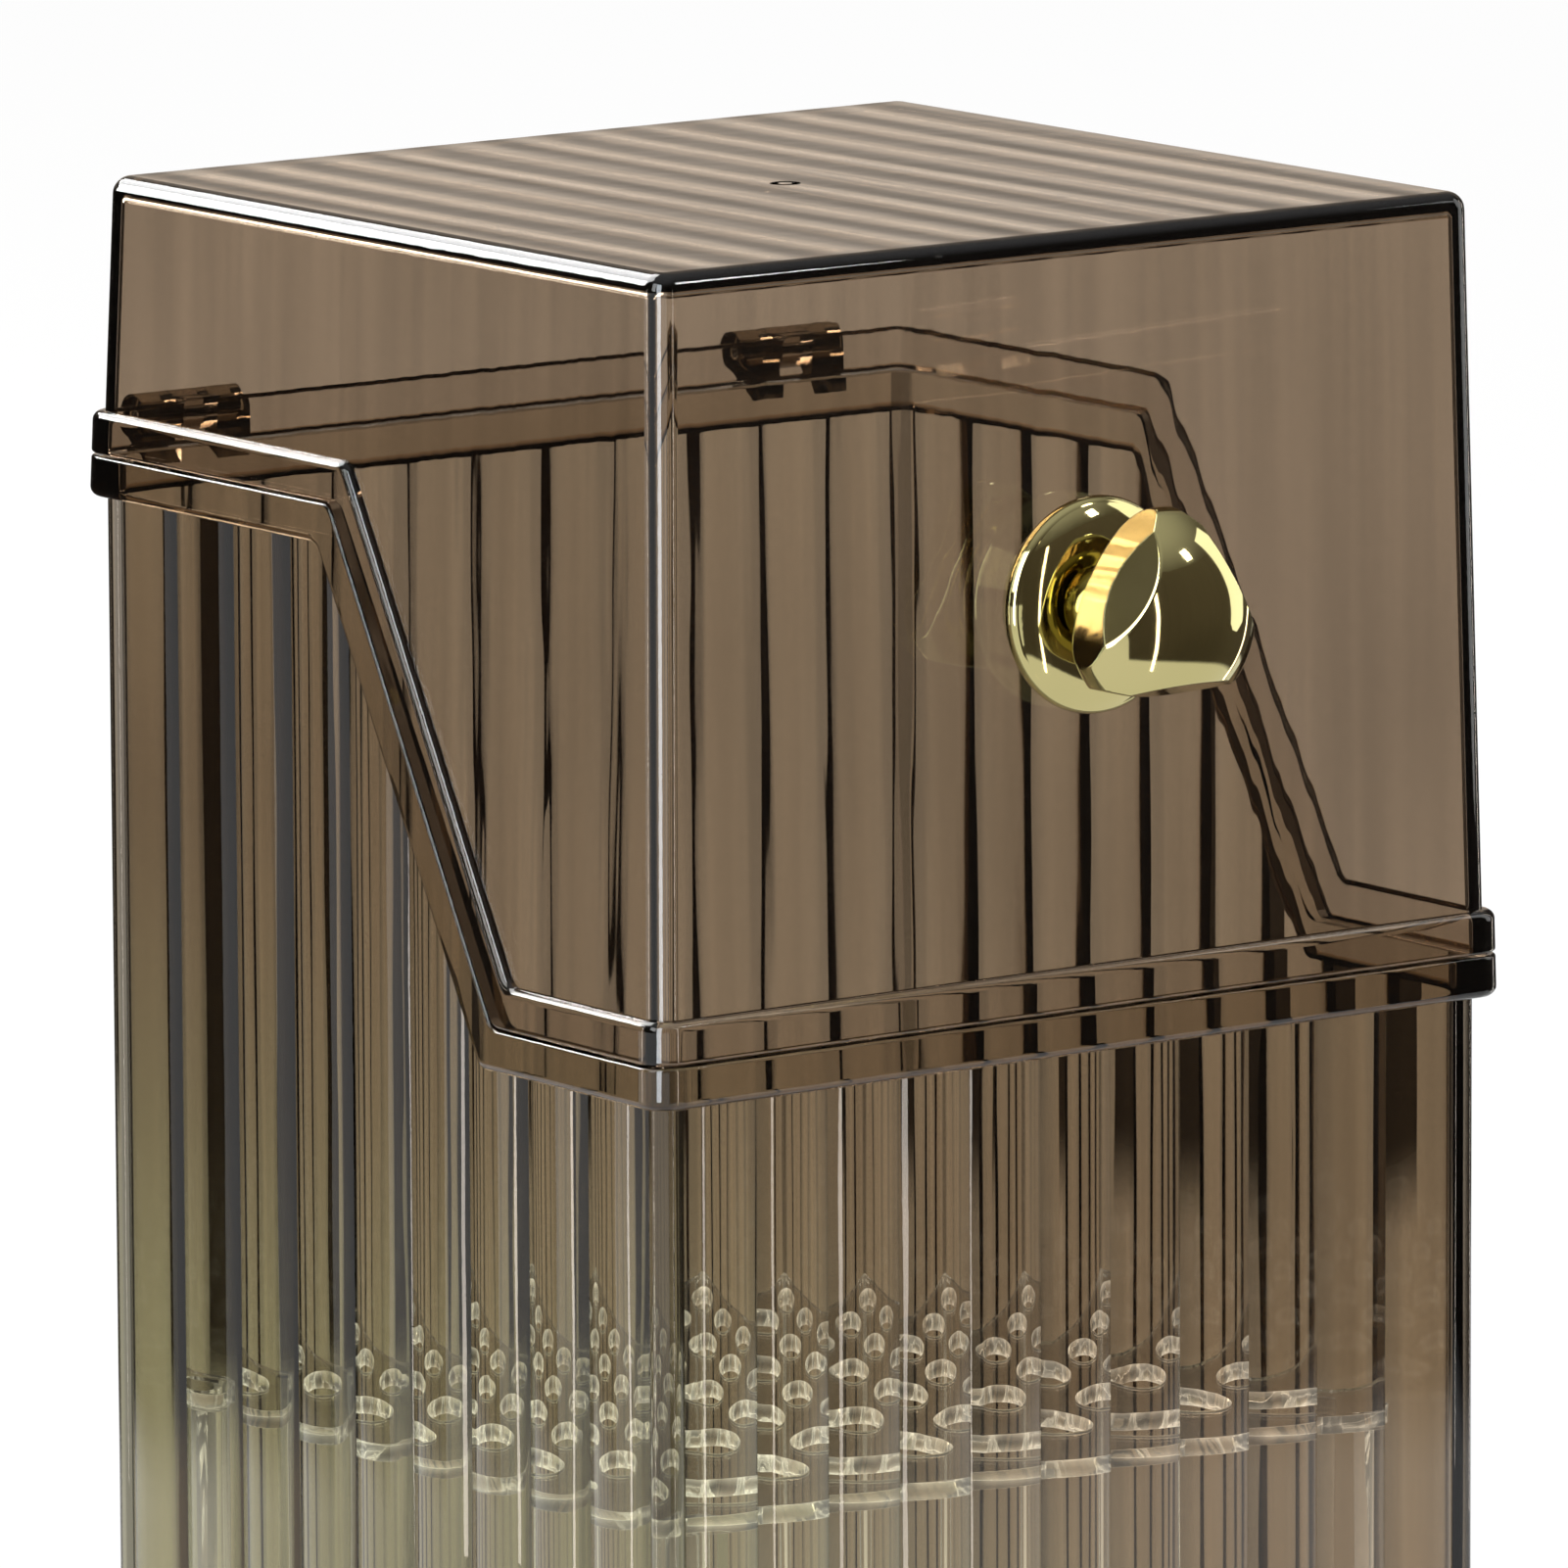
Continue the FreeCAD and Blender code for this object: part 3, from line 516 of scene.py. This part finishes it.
def make_flag(name, radius, first_deg, last_deg, height):
    """Dark upright screen bent round the object, seen only in reflections and through the plastic."""
    corners = []
    for step in range(FLAG_STEPS + 1):
        angle = math.radians(first_deg + (last_deg - first_deg) * step / FLAG_STEPS)
        foot = Vector((radius * math.cos(angle), radius * math.sin(angle), FLAG_FOOT))
        corners += [foot, foot + Vector((0, 0, height))]
    faces = [(2 * i, 2 * i + 2, 2 * i + 3, 2 * i + 1) for i in range(FLAG_STEPS)]
    flag = stage_mesh(name, corners, faces, flag_cloth(name))
    flag.visible_camera = False
    flag.visible_diffuse = False
    flag.visible_shadow = False


def flag_cloth(name):
    """Dark cloth that fades out at its foot, so that no hard line is mirrored there."""
    material, tree, shader = new_material(name)
    shader.inputs["Base Color"].default_value = (*SCREEN_CLOTH, 1)
    shader.inputs["Roughness"].default_value = FLAG_ROUGHNESS
    height = parts_of(tree, object_space(tree))["Z"]
    tree.links.new(smooth_step(tree, height, 0.0, FLAG_FADE), shader.inputs["Alpha"])
    return material


def area_light(name, place, target, size, power, color, far):
    """A lamp that reflections show. Only a far one is also seen through the plastic."""
    data = bpy.data.lights.new(name, "AREA")
    data.shape = "RECTANGLE"
    data.size, data.size_y = size
    data.energy = power
    data.color = color
    light = add_to_scene(name, data)
    light.visible_camera = False
    light.visible_transmission = far
    light.location = place
    light.rotation_euler = (Vector(target) - Vector(place)).to_track_quat("-Z", "Y").to_euler()


def strip_light(name, direction_deg):
    angle = math.radians(direction_deg)
    place = (STRIP_DISTANCE * math.cos(angle), STRIP_DISTANCE * math.sin(angle), STRIP_LEVEL)
    area_light(name, place, (0, 0, STRIP_LEVEL), STRIP_SIZE, STRIP_POWER, WARM, False)


def make_camera():
    data = bpy.data.cameras.new("photo_camera")
    data.lens = LENS
    data.sensor_width = SENSOR
    data.sensor_fit = "HORIZONTAL"
    data.clip_end = VIEW_END
    camera = add_to_scene("photo_camera", data)
    tilt = math.radians(90) + CAMERA_PITCH
    turn = Matrix.Rotation(-CAMERA_YAW, 4, "Z") @ Matrix.Rotation(tilt, 4, "X")
    turn = turn @ Matrix.Rotation(CAMERA_ROLL, 4, "Z")
    camera.matrix_world = Matrix.Translation(CAMERA_PLACE) @ turn
    bpy.context.scene.camera = camera


dress_pieces()
make_floor()
make_world()
for name, shape in FLAGS.items():
    make_flag(name, *shape)
for name, lamp in LAMPS.items():
    area_light(name, *lamp)
for name, direction in STRIPS.items():
    strip_light(name, direction)
make_camera()
bpy.context.scene.view_settings.view_transform = "Standard"
